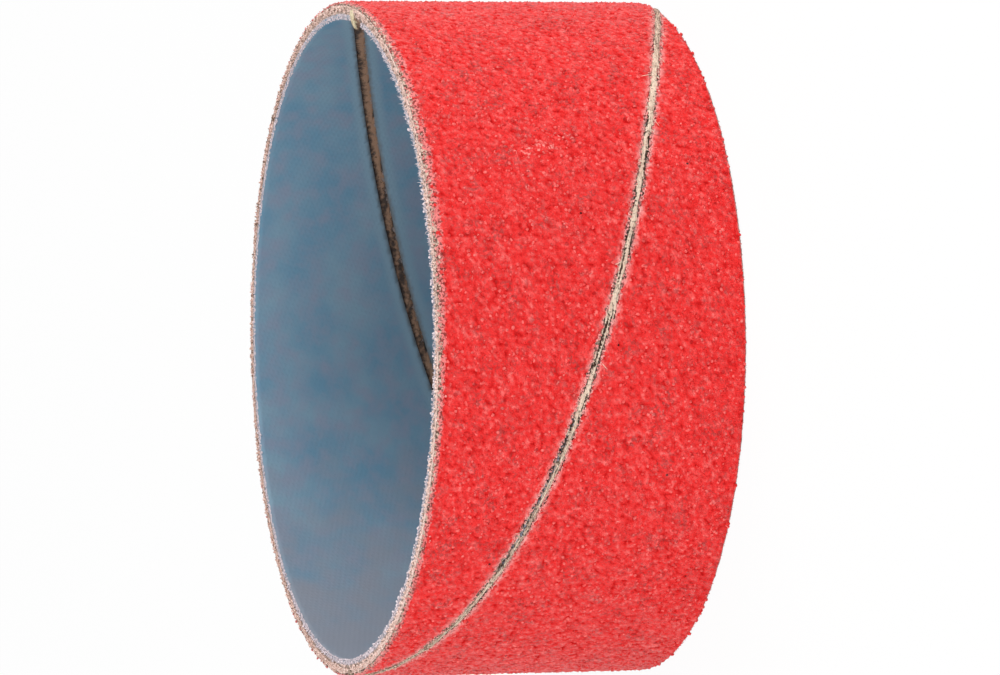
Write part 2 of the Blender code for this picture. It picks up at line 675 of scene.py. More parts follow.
@dataclass
class FlatStrip:
    """One layer of a strip, cut out of a flat sheet with a fine mesh on the side in view."""

    name: str
    winding: Winding
    depth: float
    thickness: float
    cell: float
    side: Side
    columns_per_bend: int = 8
    sliver: float = 0.02 * MM

    def cut(self) -> bpy.types.Object:
        """Cut the sheet along both seam edges and give it its thickness.

        Returns:
            The closed strip, still flat.
        """
        winding = self.winding
        low = winding.seam_arc(winding.length)
        high = winding.seam_arc(0.0) + winding.circumference
        columns = round((high - low) / self.cell)
        rows = round(winding.length / self.cell)
        bpy.ops.object.select_all(action="DESELECT")
        bpy.ops.mesh.primitive_grid_add(x_subdivisions=columns, y_subdivisions=rows, size=1.0)
        strip = bpy.context.object
        strip.name = strip.data.name = self.name
        strip.location = ((low + high) / 2.0, winding.length / 2.0, self.depth)
        strip.scale = (high - low, winding.length, 1.0)
        bpy.ops.object.transform_apply(location=True, rotation=False, scale=True)
        half = winding.half_gap
        across = (math.sin(winding.slant), math.cos(winding.slant), 0.0)
        drop = (0.0, 0.0, -self.thickness * self.side.value)
        with edited(strip):
            bpy.ops.mesh.select_mode(type="EDGE")
            for offset, edge in ((half, "clear_inner"), (winding.circumference - half, "clear_outer")):
                bpy.ops.mesh.select_all(action="SELECT")
                point = (winding.seam_arc(0.0) + offset, 0.0, 0.0)
                bpy.ops.mesh.bisect(plane_co=point, plane_no=across, threshold=TINY, **{edge: True})
            bpy.ops.mesh.select_all(action="SELECT")
            bpy.ops.mesh.remove_doubles(threshold=self.sliver)
            bpy.ops.mesh.delete_loose(use_verts=True, use_edges=True, use_faces=False)
            bpy.ops.mesh.select_all(action="DESELECT")
            bpy.ops.mesh.select_non_manifold(
                extend=False, use_wire=False, use_multi_face=False, use_verts=False
            )
            bpy.ops.mesh.extrude_edges_move(TRANSFORM_OT_translate={"value": drop})
            bpy.ops.mesh.edge_face_add()
            bpy.ops.mesh.separate(type="SELECTED")
        back = next(piece for piece in bpy.context.selected_objects if piece != strip)
        self.divide_back(back, low, (high - low) / columns, columns)
        select_only(strip)
        back.select_set(True)
        bpy.ops.object.join()
        with edited(strip):
            bpy.ops.mesh.select_all(action="SELECT")
            bpy.ops.mesh.remove_doubles(threshold=TINY)
            bpy.ops.mesh.normals_make_consistent(inside=False)
        return strip

    def divide_back(self, back: bpy.types.Object, low: float, step: float, columns: int) -> None:
        """Divide the strip's plain back at every few columns, so that it can bend.

        Args:
            back: The back as one flat face.
            low: The arc of the sheet's first column.
            step: The arc from one column to the next.
            columns: How many columns the sheet has.
        """
        with edited(back):
            for k in range(self.columns_per_bend, columns, self.columns_per_bend):
                bpy.ops.mesh.select_all(action="SELECT")
                point = (low + k * step, 0.0, 0.0)
                bpy.ops.mesh.bisect(plane_co=point, plane_no=(1.0, 0.0, 0.0), threshold=step / 4.0)
            bpy.ops.mesh.select_all(action="SELECT")
            bpy.ops.mesh.quads_convert_to_tris(quad_method="BEAUTY", ngon_method="BEAUTY")

    def roll_up(self, strip: bpy.types.Object, points: np.ndarray) -> None:
        """Keep the flat layout for the materials, then roll the strip up.

        Args:
            strip: The flat strip.
            points: Where its vertices are to be, still flat.
        """
        mesh = strip.data
        write_values(mesh, "past_seam", self.winding.past_seam(points) / MM)
        write_values(mesh, "past_rim", self.winding.past_rim(points) / self.winding.worn(points[:, 0]) / MM)
        layer = mesh.uv_layers.new(name="cloth")
        corner = np.empty(len(mesh.loops), np.int32)
        mesh.loops.foreach_get("vertex_index", corner)
        turn = -self.winding.slant
        along = points[:, 0] * math.cos(turn) - points[:, 1] * math.sin(turn)
        across = points[:, 0] * math.sin(turn) + points[:, 1] * math.cos(turn)
        flat = np.stack([along, across], 1) / MM
        layer.data.foreach_set("uv", flat[corner].astype(np.float32).ravel())
        write_points(mesh, self.winding.roll(points))
        mesh.shade_smooth()


# Pieces


@dataclass
class GrainCoat:
    """The resin and grain on the outer strip, lumpy all over and chipped away at its cut edges."""

    winding: Winding
    cloth_thickness: float
    thickness: float
    cell: float = 0.213 * MM
    grain_size: float = 0.40 * MM
    grain_rise: float = 0.17 * MM
    chip_at_rim: float = 0.70 * MM
    chip_at_seam: float = 0.12 * MM
    back_from_seam: float = 0.17 * MM
    torn: float = 0.26 * MM
    ragged_edge: float = 0.22 * MM
    waviness: float = 0.03 * MM
    left_where_chipped: float = 0.1 * MM

    def relief(self, points: np.ndarray) -> np.ndarray:
        """How high the grain rises.

        Args:
            points: Flat points.

        Returns:
            Values from 0 in the hollows to 1 on the tallest grain.
        """
        heights = []
        for x, y in points[:, :2].tolist():
            distance, nearest = noise.voronoi(Vector((x, y, 0.0)) / self.grain_size + Vector((0.0, 0.0, 0.4)))
            tall = 0.5 + 0.5 * noise.noise(nearest[0] * 2.3)
            heights.append((0.25 + 0.75 * tall) * (1.0 - (distance[0] / 0.9) ** 2))
        return np.clip(np.array(heights), 0.0, 1.0)

    def make(self) -> bpy.types.Object:
        """Cut, raise, chip and roll the coat.

        Returns:
            The coat, closed.
        """
        top = self.cloth_thickness + self.thickness
        winding = replace(self.winding, seam_gap=self.winding.seam_gap + 2.0 * self.back_from_seam)
        flat = FlatStrip("grain_coat", winding, top, self.thickness, self.cell, Side.OUTER)
        coat = flat.cut()
        points = read_points(coat.data)
        in_view = points[:, 2] > top - 0.5 * self.thickness
        rise = np.where(in_view, self.relief(points), 0.0)
        write_values(coat.data, "rise", rise)
        write_values(coat.data, "scuff", winding.scuff(points))
        write_values(coat.data, "buried", np.where(in_view, 0.0, 1.0))
        ragged = self.ragged_edge * lumps(points, 0.5 * MM, 3.0)
        rim = (winding.past_rim(points) + ragged) / self.chip_at_rim / winding.worn(points[:, 0])
        seam = (winding.past_seam(points) + 0.4 * ragged) / self.chip_at_seam
        kept = smoothstep(-0.2, 1.0, rim) * (0.6 + 0.4 * smoothstep(-0.2, 1.0, seam))
        waves = self.waviness * lumps(points, 2.5 * MM, 7.0)
        near_seam = smoothstep(0.6 * MM, 0.0, winding.past_seam(points))
        near_seam = near_seam * smoothstep(0.1 * MM, 0.5 * MM, winding.past_rim(points))
        shift = winding.seam_side(points) * near_seam * self.torn * lumps(points, 0.45 * MM, 9.0)
        points[:, 0] += shift * math.sin(winding.slant)
        points[:, 1] += shift * math.cos(winding.slant)
        chipped = (1.0 - kept) * (self.thickness - self.left_where_chipped)
        lift = (rise - 0.75) * self.grain_rise + waves - chipped
        points[:, 2] += np.where(in_view, lift, 0.0)
        flat.roll_up(coat, points)
        return coat


@dataclass
class BackingCloth:
    """The outer strip's cloth, seen at the cut ends, in the seam and through the lining's seam."""

    winding: Winding
    thickness: float
    cell: float = 0.70 * MM
    under_coat: float = 0.01 * MM

    def make(self) -> bpy.types.Object:
        """Cut and roll the cloth.

        Returns:
            The cloth, closed.
        """
        depth = self.thickness - self.under_coat
        flat = FlatStrip("backing_cloth", self.winding, 0.0, depth, self.cell, Side.BORE)
        cloth = flat.cut()
        points = read_points(cloth.data)
        flat.roll_up(cloth, points)
        return cloth


@dataclass
class LiningCloth:
    """The inner strip, with its face towards the bore."""

    winding: Winding
    thickness: float
    cell: float = 0.42 * MM

    def make(self) -> bpy.types.Object:
        """Cut and roll the lining.

        Returns:
            The lining, closed.
        """
        flat = FlatStrip("lining_cloth", self.winding, 0.0, self.thickness, self.cell, Side.BORE)
        lining = flat.cut()
        points = read_points(lining.data)
        in_view = points[:, 2] < 0.5 * self.thickness
        write_values(lining.data, "buried", np.where(in_view, 0.0, 1.0))
        points[:, 2] += np.where(in_view, 0.02 * MM * lumps(points, 1.6 * MM, 2.0), 0.0)
        flat.roll_up(lining, points)
        return lining


@dataclass
class Scatter:
    """Many copies of one small modelled shape, each turned, sized and placed, as one mesh."""

    name: str
    rng: np.random.Generator

    def pebble(self) -> bpy.types.Mesh:
        """Model one grain as a faceted ball. Each copy is dented and stretched in its own way.

        Returns:
            The ball's mesh, one unit in radius.
        """
        bpy.ops.object.select_all(action="DESELECT")
        bpy.ops.mesh.primitive_ico_sphere_add(subdivisions=1, radius=1.0)
        ball = bpy.context.object
        mesh = ball.data
        bpy.data.objects.remove(ball)
        return mesh

    def lay(self, places: np.ndarray, sizes: np.ndarray) -> bpy.types.Object:
        """Copy the modelled grain to each place.

        Args:
            places: Rows of x, y and z in the row frame.
            sizes: Each copy's three half sizes, in metres.

        Returns:
            The joined copies.
        """
        shape = self.pebble()
        base = read_points(shape)
        faces = np.array([list(p.vertices) for p in shape.polygons])
        count = len(places)
        dents = self.rng.uniform(0.72, 1.15, (count, len(base), 1))
        turns = random_turns(self.rng, count)
        grains = np.einsum("nij,nkj->nki", turns, base[None] * dents * sizes[:, None, :])
        points = (grains + places[:, None, :]).reshape(-1, 3)
        joined = (faces[None] + np.arange(count)[:, None, None] * len(base)).reshape(-1, 3)
        mesh = bpy.data.meshes.new(self.name)
        mesh.from_pydata(points.tolist(), [], joined.tolist())
        mesh.shade_smooth()
        return new_piece(self.name, mesh)


def random_turns(rng: np.random.Generator, count: int) -> np.ndarray:
    """Draw uniform random rotations.

    Args:
        rng: The source of the random draws.
        count: How many rotations.

    Returns:
        One 3 by 3 matrix for each.
    """
    q = rng.normal(size=(count, 4))
    q /= np.linalg.norm(q, axis=1, keepdims=True)
    w, x, y, z = q.T
    rows = [
        [1 - 2 * (y * y + z * z), 2 * (x * y - z * w), 2 * (x * z + y * w)],
        [2 * (x * y + z * w), 1 - 2 * (x * x + z * z), 2 * (y * z - x * w)],
        [2 * (x * z - y * w), 2 * (y * z + x * w), 1 - 2 * (x * x + y * y)],
    ]
    return np.array(rows).transpose(2, 0, 1)


def fibres(name: str, runs: list[np.ndarray], thickness: float) -> bpy.types.Object:
    """Thin round fibres along the given runs of points, as one mesh.

    Args:
        name: The piece's name.
        runs: The points of each fibre, in the row frame.
        thickness: A fibre's diameter in the middle of its run.

    Returns:
        The fibres, joined.
    """
    curve = bpy.data.curves.new(name, "CURVE")
    curve.dimensions = "3D"
    curve.bevel_depth = thickness / 2.0
    curve.bevel_resolution = 0
    curve.use_fill_caps = True
    for run in runs:
        spline = curve.splines.new("POLY")
        spline.points.add(len(run) - 1)
        spline.points.foreach_set("co", np.c_[run, np.ones(len(run))].ravel())
        share = np.linspace(0.0, 1.0, len(run))
        taper = np.clip(4.0 * np.minimum(share, 1.0 - share) + 0.35, 0.0, 1.0)
        spline.points.foreach_set("radius", taper)
    piece = new_piece(name, curve)
    select_only(piece)
    bpy.ops.object.convert(target="MESH")
    piece = bpy.context.object
    piece.data.shade_smooth()
    return piece


@dataclass(frozen=True)
class DarkMark:
    """A stretch of a ribbon that is sunk and painted dark with shade. All its figures but the strength are in
    mm.
    """

    start: float
    stop: float
    across: float
    reach: float
    strength: float = 1.0

    def share(self, height: np.ndarray, across: np.ndarray) -> np.ndarray:
        """How dark the mark makes each point of the ribbon.

        Args:
            height: The points' heights along the tube, in mm.
            across: Their places across the seam, in mm.

        Returns:
            Values from 0 to 1.
        """
        within = smoothstep(self.start - 0.2, self.start + 0.2, height)
        within = within * smoothstep(self.stop + 0.2, self.stop - 0.2, height)
        return self.strength * within * smoothstep(self.reach, 0.3 * self.reach, np.abs(across - self.across))


@dataclass
class SeamRibbon:
    """A ragged ribbon that lies in a seam, rounded and closed, from one rim to the other."""

    name: str
    winding: Winding
    width: float
    low: float
    high: float
    marks: tuple[DarkMark, ...] = ()
    ragged: float = 0.15 * MM
    bumps: float = 0.08 * MM
    sunk: float = 0.10 * MM
    narrows: float = 0.0
    rows: int = 900
    columns: int = 20
    layer: float = 0.0

    def dark(self, height: np.ndarray, across: np.ndarray) -> np.ndarray:
        """How dark each point is, from its height along the tube and its place across the seam."""
        shares = [mark.share(height / MM, across / MM) for mark in self.marks]
        return np.max(shares, axis=0) if shares else np.zeros(len(height))

    def ripple(self, along: np.ndarray, across: np.ndarray | float, size: float, layer: float) -> np.ndarray:
        """Noise over the seam, in lumps of one size. Each layer is another pattern."""
        return lumps(np.stack([along, across + 0.0 * along], 1), size, self.layer + layer)

    def section(self, grid: np.ndarray) -> np.ndarray:
        """Bend the grid's rows into the ribbon's rounded section.

        Args:
            grid: The plain grid's points, from -0.5 to 0.5 both ways.

        Returns:
            Rows of the place across the seam, the height along the tube and the depth.
        """
        turn = 2.0 * math.pi * (grid[:, 0] + 0.5)
        height = (grid[:, 1] + 0.5) * self.winding.length
        side = np.sign(np.cos(turn)) * np.abs(np.cos(turn)) ** 0.7
        top = np.sign(np.sin(turn)) * np.abs(np.sin(turn)) ** 0.7
        along = height / math.sin(self.winding.slant)
        drift = self.ragged * self.ripple(along, 0.0, 2.2 * MM, 0.0)
        edge = np.sign(side) * MM
        edges = self.ripple(along, edge, 0.5 * MM, 3.0) + 0.6 * self.ripple(along, edge, 0.2 * MM, 4.0)
        swell = 1.0 + 0.6 * self.ripple(along, 0.0, 1.4 * MM, 8.0)
        swell = swell * (1.0 - self.narrows * smoothstep(15.0 * MM, 20.0 * MM, height))
        across = drift + side * (swell * self.width / 2.0 + self.ragged * edges)
        depth = (self.low + self.high) / 2.0 + top * (self.high - self.low) / 2.0
        coarse = self.ripple(along, across, 0.2 * MM, 5.0) + self.ripple(along, 0.0, 1.3 * MM, 6.0)
        uneven = 1.0 + 1.4 * self.ripple(along, across, 0.3 * MM, 9.0)
        carved = self.bumps * coarse - self.sunk * self.dark(height, across) * uneven
        depth = depth + np.where(top > 0.0, carved, 0.0)
        return np.stack([across, height, depth], 1)

    def make(self) -> bpy.types.Object:
        """Bend a grid into the ribbon, close it, lay it in the seam and roll it up.

        Returns:
            The ribbon, closed.
        """
        bpy.ops.object.select_all(action="DESELECT")
        bpy.ops.mesh.primitive_grid_add(x_subdivisions=self.columns, y_subdivisions=self.rows, size=1.0)
        ribbon = bpy.context.object
        ribbon.name = ribbon.data.name = self.name
        points = self.section(read_points(ribbon.data))
        across = points[:, 0].copy()
        points[:, 0] = self.winding.seam_arc(points[:, 1]) + across / math.sin(self.winding.slant)
        write_points(ribbon.data, points)
        write_values(ribbon.data, "across", across / MM)
        write_values(ribbon.data, "dark", self.dark(points[:, 1], across))
        with edited(ribbon):
            bpy.ops.mesh.select_all(action="SELECT")
            bpy.ops.mesh.remove_doubles(threshold=TINY)
            bpy.ops.mesh.fill_holes(sides=0)
            bpy.ops.mesh.select_all(action="SELECT")
            bpy.ops.mesh.normals_make_consistent(inside=False)
        write_points(ribbon.data, self.winding.roll(read_points(ribbon.data)))
        ribbon.data.shade_smooth()
        return ribbon


@dataclass
class SeamFray:
    """The frayed yarn on the outer seam's ribbon, almost flush with the grain."""

    winding: Winding
    depth: float
    marks: tuple[DarkMark, ...]
    spread: float = 0.12 * MM
    count: int = 420
    strays: int = 20
    darkest: float = 0.35
    fewest_points: int = 4
    # Height in mm and side of the seam
    tufts: tuple[tuple[float, float], ...] = ((5.4, 1.0), (6.1, -1.0), (7.1, 1.0), (7.2, -1.0), (13.3, -1.0))
    fibres_per_tuft: int = 8
    thickness: float = 0.05 * MM
    seed: int = 11

    def lay(self, along: np.ndarray, across: np.ndarray, depth: np.ndarray) -> np.ndarray | None:
        """Roll up one fibre, where it lies clear of the ends and the dark marks.

        Args:
            along: Its points' places along the seam.
            across: Their places across it.
            depth: Their depths.

        Returns:
            The longest clear run of its points, or None where that is too short.
        """
        winding = self.winding
        height = along * math.sin(winding.slant) + across * math.cos(winding.slant)
        arc = winding.seam_arc(0.0) - along * math.cos(winding.slant) + across * math.sin(winding.slant)
        inside = (height > 0.0) & (height < winding.length)
        for mark in self.marks:
            inside &= mark.share(height / MM, across / MM) < self.darkest
        breaks = np.flatnonzero(np.r_[True, ~inside, True])
        lengths = np.diff(breaks)
        if lengths.max() < self.fewest_points + 1:
            return None
        first = int(breaks[np.argmax(lengths)])
        run = slice(first, first + int(lengths.max()) - 1)
        return winding.wrap(arc[run], height[run], depth[run])

    def runs(self) -> list[np.ndarray]:
        """Lay every fibre along the seam and roll it up.

        Returns:
            The points of each fibre.
        """
        rng = np.random.default_rng(self.seed)
        total = self.winding.length / math.sin(self.winding.slant)
        paths = []
        for _ in range(self.count):
            reach = rng.uniform(1.5, 6.0) * MM
            steps = np.linspace(0.0, reach, 12)
            phase = rng.uniform(0.0, 6.3)
            sway = rng.uniform(0.02, 0.08) * MM
            middle = rng.normal(0.0, self.spread)
            across = middle + sway * np.sin(phase + steps / (rng.uniform(0.3, 0.9) * MM))
            along = rng.uniform(-0.5 * MM, total + 0.5 * MM - reach) + steps
            sunk = rng.uniform(0.0, 0.12) * MM + 1.5 * across**2 / MM
            depth = self.depth - sunk + 0.03 * MM * np.sin(phase * 2.0 + steps / (0.7 * MM))
            paths.append(self.lay(along, across, depth))
        for _ in range(self.strays):
            reach = rng.uniform(0.5, 1.3) * MM
            share = np.linspace(0.0, 1.0, 7)
            slope = rng.choice([-1.0, 1.0]) * rng.uniform(0.3, 0.9)
            across = slope * reach * share**1.4
            along = rng.uniform(0.0, total) + reach * share * math.sqrt(1.0 - slope * slope)
            depth = self.depth + 0.12 * MM * np.sin(math.pi * share)
            paths.append(self.lay(along, across, depth))
        for height, way in self.tufts:
            for _ in range(self.fibres_per_tuft):
                reach = rng.uniform(0.25, 0.6) * MM
                share = np.linspace(0.0, 1.0, 7)
                across = way * (reach * share - 0.1 * MM)
                start = height * MM / math.sin(self.winding.slant) + rng.normal(0.0, 0.12) * MM
                along = start + rng.normal(0.0, 0.4) * reach * share**1.5
                paths.append(self.lay(along, across, self.depth + 0.10 * MM * np.sin(math.pi * share)))
        return [path for path in paths if path is not None]

    def make(self) -> bpy.types.Object:
        """Lay the fibres in the seam."""
        return fibres("seam_fray", self.runs(), self.thickness)


@dataclass
class LooseYarn:
    """The tuft of backing yarn that hangs into the bore where the lining's seam meets the upper rim."""

    winding: Winding
    count: int = 46
    from_seam: float = 0.9 * MM
    spread: float = 0.16 * MM
    thickness: float = 0.09 * MM
    start_depth: float = 0.95 * MM
    swing_inwards: float = 1.55 * MM
    hang: float = 0.45 * MM
    seed: int = 51

    def make(self) -> bpy.types.Object:
        """Hang the yarns over the rim.

        Returns:
            The yarns, joined.
        """
        rng = np.random.default_rng(self.seed)
        winding = self.winding
        share = np.linspace(0.0, 1.0, 8)
        paths = []
        for _ in range(self.count):
            droop = rng.uniform(0.6, 1.0)
            height = winding.length + rng.uniform(0.02, 0.16) * MM - self.hang * droop * share**3
            start = winding.seam_arc(winding.length) + self.from_seam + rng.normal(0.0, self.spread)
            arc = start + rng.normal(0.0, 0.10) * MM * share
            depth = self.start_depth - self.swing_inwards * droop * share
            paths.append(winding.wrap(arc, height, depth))
        return fibres("loose_yarn", paths, self.thickness)


@dataclass
class RimFuzz:
    """Short yarn ends that stand out of a strip's cut ends."""

    name: str
    winding: Winding
    depth_low: float
    depth_high: float
    count: int
    reach: float = 0.32 * MM
    lower_reach: float = 0.25
    rooted: float = 0.3
    thickness: float = 0.05 * MM
    seed: int = 21

    def make(self) -> bpy.types.Object:
        """Stand the yarn ends along both rims.

        Returns:
            The yarn ends, joined.
        """
        rng = np.random.default_rng(self.seed)
        winding = self.winding
        half = winding.half_gap
        steps = np.linspace(-self.rooted, 1.0, 4)
        bend = steps * steps
        paths = []
        for i in range(self.count):
            upper = i % LOWER_EVERY > 0
            height = winding.length if upper else 0.0
            way = 1.0 if upper else -1.0
            arc = winding.seam_arc(height) + rng.uniform(half, winding.circumference - half)
            depth = rng.uniform(self.depth_low, self.depth_high)
            reach = self.reach * winding.worn(arc) * rng.uniform(0.3, 1.0)
            reach = reach * (1.0 if upper else self.lower_reach)
            side = rng.normal(0.0, 0.5) * reach
            out = rng.normal(0.0, 0.35) * reach
            paths.append(winding.wrap(arc + side * bend, height + way * reach * steps, depth + out * bend))
        return fibres(self.name, paths, self.thickness)


@dataclass
class ProudGrains:
    """Single grains that stand proud of the red coat."""

    name: str
    winding: Winding
    depth: float
    count: int
    seed: int
    clear_of_edges: float = 0.35 * MM
    # Least and most, in mm
    sunk: tuple[float, float] = (-0.18, -0.11)
    half_size: tuple[float, float] = (0.14, 0.22)

    def make(self) -> bpy.types.Object:
        """Set the grains into the coat.

        Returns:
            The grains, joined.
        """
        rng = np.random.default_rng(self.seed)
        spots = self.winding.spots(rng, self.count)
        edge = np.minimum(self.winding.past_rim(spots), self.winding.past_seam(spots))
        spots = spots[edge > self.clear_of_edges]
        depth = self.depth + rng.uniform(*self.sunk, len(spots)) * MM
        places = self.winding.roll(np.c_[spots, depth])
        sizes = rng.uniform(*self.half_size, (len(spots), 3)) * MM
        piece = Scatter(self.name, rng).lay(places, sizes)
        for name, value in (("past_seam", 5.0), ("past_rim", 5.0), ("buried", 0.0)):
            write_values(piece.data, name, np.full(len(piece.data.vertices), value))
        per_grain = len(piece.data.vertices) // len(spots)
        write_values(piece.data, "scuff", np.repeat(self.winding.scuff(spots), per_grain))
        tall = 0.35 + 0.6 * rng.uniform(0.0, 1.0, len(spots)) ** 1.5
        write_values(piece.data, "rise", np.repeat(tall, per_grain))
        return piece


@dataclass
class EdgeGranules:
    """Yarn ends and chipped grain along both rims, as small lumps."""

    name: str
    winding: Winding
    depth_low: float
    depth_high: float
    inset_low: float
    inset_high: float
    count: int
    size: float = 0.13 * MM
    least_worn: float = 0.0
    seed: int = 41

    def make(self) -> bpy.types.Object:
        """Set the lumps along the rims.

        Returns:
            The lumps, joined.
        """
        rng = np.random.default_rng(self.seed)
        spots = self.winding.spots(rng, self.count)
        worn = np.maximum(self.winding.worn(spots[:, 0]), self.least_worn)
        upper = np.arange(self.count) % LOWER_EVERY > 0
        worn = np.where(upper, worn, worn / self.winding.cleaner)
        inset = worn * rng.uniform(self.inset_low, self.inset_high, self.count)
        turn = spots[:, 0] - self.winding.seam_arc(spots[:, 1])
        height = np.where(upper, self.winding.length - inset, inset)
        arc = self.winding.seam_arc(height) + turn
        depth = rng.uniform(self.depth_low, self.depth_high, self.count)
        places = self.winding.wrap(arc, height, depth)
        sizes = self.size * np.sqrt(worn)[:, None] * rng.uniform(0.55, 1.15, (self.count, 3))
        return Scatter(self.name, rng).lay(places, sizes)


@dataclass
class SeamChips:
    """Chipped grain along both edges of the outer seam, as small lumps."""

    winding: Winding
    depth: float
    nearest: float = 0.22 * MM
    farthest: float = 0.50 * MM
    count: int = 2600
    size: float = 0.10 * MM
    seed: int = 61

    def make(self) -> bpy.types.Object:
        """Set the lumps along the seam.

        Returns:
            The lumps, joined.
        """
        rng = np.random.default_rng(self.seed)
        height = rng.uniform(0.1 * MM, self.winding.length - 0.1 * MM, self.count)
        across = rng.choice([-1.0, 1.0], self.count) * rng.uniform(self.nearest, self.farthest, self.count)
        arc = self.winding.seam_arc(height) + across / math.sin(self.winding.slant)
        depth = self.depth - rng.uniform(0.10, 0.22, self.count) * MM
        places = self.winding.wrap(arc, height, depth)
        sizes = self.size * rng.uniform(0.5, 1.2, (self.count, 3))
        return Scatter("seam_chips", rng).lay(places, sizes)


# Assemblies


def wear(piece: bpy.types.Object, material: bpy.types.Material) -> bpy.types.Object:
    """Dress a piece, let it ride on the sleeve and report it.

    Args:
        piece: The piece.
        material: Its finish.

    Returns:
        The piece.
    """
    piece.data.materials.clear()
    piece.data.materials.append(material)
    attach(piece, BODY)
    triangles = sum(len(p.vertices) - 2 for p in piece.data.polygons)
    log.info("%s: %d triangles", piece.name, triangles)
    return piece


@dataclass
class AbrasiveStrip:
    """The outer strip: cloth, grain and everything frayed or chipped along its edges."""

    outer_radius: float
    length: float
    cloth_thickness: float = 0.45 * MM
    grain_thickness: float = 0.35 * MM
    pitch: float = 52.5 * MM
    seam_gap: float = 0.4 * MM
    seam_azimuth: float = -95.3
    ribbon_width: float = 0.52 * MM
    # Heights in mm between which the ribbon goes tan, and between which its fluff starts and stops
    tan_below: tuple[float, float] = (4.0, 2.5)
    tan_above: tuple[float, float] = (12.5, 15.0)
    fluff_starts: tuple[float, float] = (13.2, 14.2)
    fluff_stops: tuple[float, float] = (18.6, 17.8)
    marks: tuple[DarkMark, ...] = (
        DarkMark(5.7, 6.2, 0.20, 0.16),
        DarkMark(6.1, 7.3, -0.14, 0.22),
        DarkMark(7.3, 8.2, -0.20, 0.14),
        DarkMark(8.0, 8.5, 0.24, 0.16),
        DarkMark(8.7, 9.4, -0.20, 0.14),
        DarkMark(8.9, 9.5, 0.22, 0.14),
        DarkMark(9.6, 10.4, 0.10, 0.12),
        DarkMark(10.9, 11.4, -0.15, 0.14),
        DarkMark(11.2, 12.6, 0.10, 0.15),
        DarkMark(11.4, 12.6, -0.20, 0.14),
        DarkMark(12.6, 13.3, 0.24, 0.15),
        DarkMark(13.0, 13.7, -0.13, 0.09),
        DarkMark(13.9, 14.9, 0.14, 0.16, 0.8),
        DarkMark(15.1, 15.8, 0.17, 0.14, 0.7),
        DarkMark(16.1, 17.2, 0.13, 0.15, 0.6),
        DarkMark(17.5, 18.3, 0.10, 0.14, 0.55),
        DarkMark(18.7, 19.7, -0.12, 0.14, 0.6),
        DarkMark(20.3, 21.1, -0.10, 0.12, 0.65),
        DarkMark(21.7, 22.5, -0.12, 0.12, 0.55),
        DarkMark(23.1, 24.2, -0.12, 0.12, 0.55),
    )
    winding: Winding = field(init=False)

    def __post_init__(self) -> None:
        """Work the winding out from the frame's outer radius."""
        inner = self.outer_radius - self.cloth_thickness - self.grain_thickness
        self.winding = Winding(inner, self.pitch, self.seam_gap, self.seam_azimuth, self.length)

    def build(self) -> None:
        """Build and dress the strip's pieces."""
        top = self.cloth_thickness + self.grain_thickness
        red = GrainFinish().make()
        cream = YarnFinish("cream_yarn", (0.94, 0.72, 0.65), (0.60, 0.40, 0.33), stain_from=0.55).make()
        coat = GrainCoat(self.winding, self.cloth_thickness, self.grain_thickness).make()
        wear(coat, red)
        cloth = wear(BackingCloth(self.winding, self.cloth_thickness).make(), cream)
        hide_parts("abrasive_strip")
        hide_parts("abrasive_strip")
        for name, count, seed in (("proud_grains", 9800, 31), ("more_grains", 6000, 33)):
            wear(ProudGrains(name, self.winding, top, count, seed).make(), red)
        wear(self.ribbon(top), self.matted().make())
        pale = YarnFinish(
            "seam_yarn", (0.84, 0.70, 0.56), (0.56, 0.42, 0.31), stain_from=0.61, cleaner_below=-0.07
        )
        wear(SeamFray(self.winding, top, self.marks).make(), pale.make())
        lips = YarnFinish("seam_chips", (0.86, 0.40, 0.37), (0.62, 0.10, 0.09), (0.10, 0.04, 0.03), 0.56)
        wear(SeamChips(self.winding, top).make(), lips.make())
        low, high = 0.03 * MM, self.cloth_thickness
        wear(RimFuzz("backing_fuzz", self.winding, low, high, count=1480).make(), cream)
        ends = EdgeGranules(
            "backing_yarn_ends",
            self.winding,
            depth_low=-0.20 * MM,
            depth_high=high,
            inset_low=-0.15 * MM,
            inset_high=0.14 * MM,
            count=3740,
            least_worn=0.8,
        )
        wear(ends.make(), cream)
        pink = YarnFinish("chipped_grain", (0.84, 0.33, 0.31), (0.54, 0.11, 0.10), stain_from=0.58).make()
        chips = EdgeGranules(
            "chipped_grains",
            self.winding,
            depth_low=high + 0.04 * MM,
            depth_high=top - 0.12 * MM,
            inset_low=-0.02 * MM,
            inset_high=0.80 * MM,
            count=3080,
            seed=43,
        )
        wear(chips.make(), pink)

    def ribbon(self, top: float) -> bpy.types.Object:
        """Lay the seam's ribbon, tan in places and with blue fluff on one stretch.

        Args:
            top: The depth of the grain's face.

        Returns:
            The ribbon.
        """
        low, high = 0.15 * MM, top - 0.03 * MM
        shape = SeamRibbon(
            "seam_ribbon", self.winding, self.ribbon_width, low, high, self.marks, narrows=0.3
        )
        ribbon = shape.make()
        across = read_values(ribbon.data, "across")
        height = read_points(ribbon.data)[:, 2] / MM
        tan = smoothstep(*self.tan_below, height)
        tan = np.maximum(tan, 0.75 * smoothstep(*self.tan_above, height))
        zone = smoothstep(*self.fluff_starts, height) * smoothstep(*self.fluff_stops, height)
        write_values(ribbon.data, "tan", tan)
        write_values(ribbon.data, "fluff", zone * smoothstep(-0.02, 0.10, across))
        return ribbon

    @staticmethod
    def matted() -> RibbonFinish:
        """The finish of the seam's ribbon: clean, tan and fluffy."""
        clean, tan_and_shadow, fluff = (0.76, 0.61, 0.48), (0.44, 0.31, 0.24), (0.20, 0.23, 0.29)
        return RibbonFinish("seam_mat", clean, tan_and_shadow, fluff)


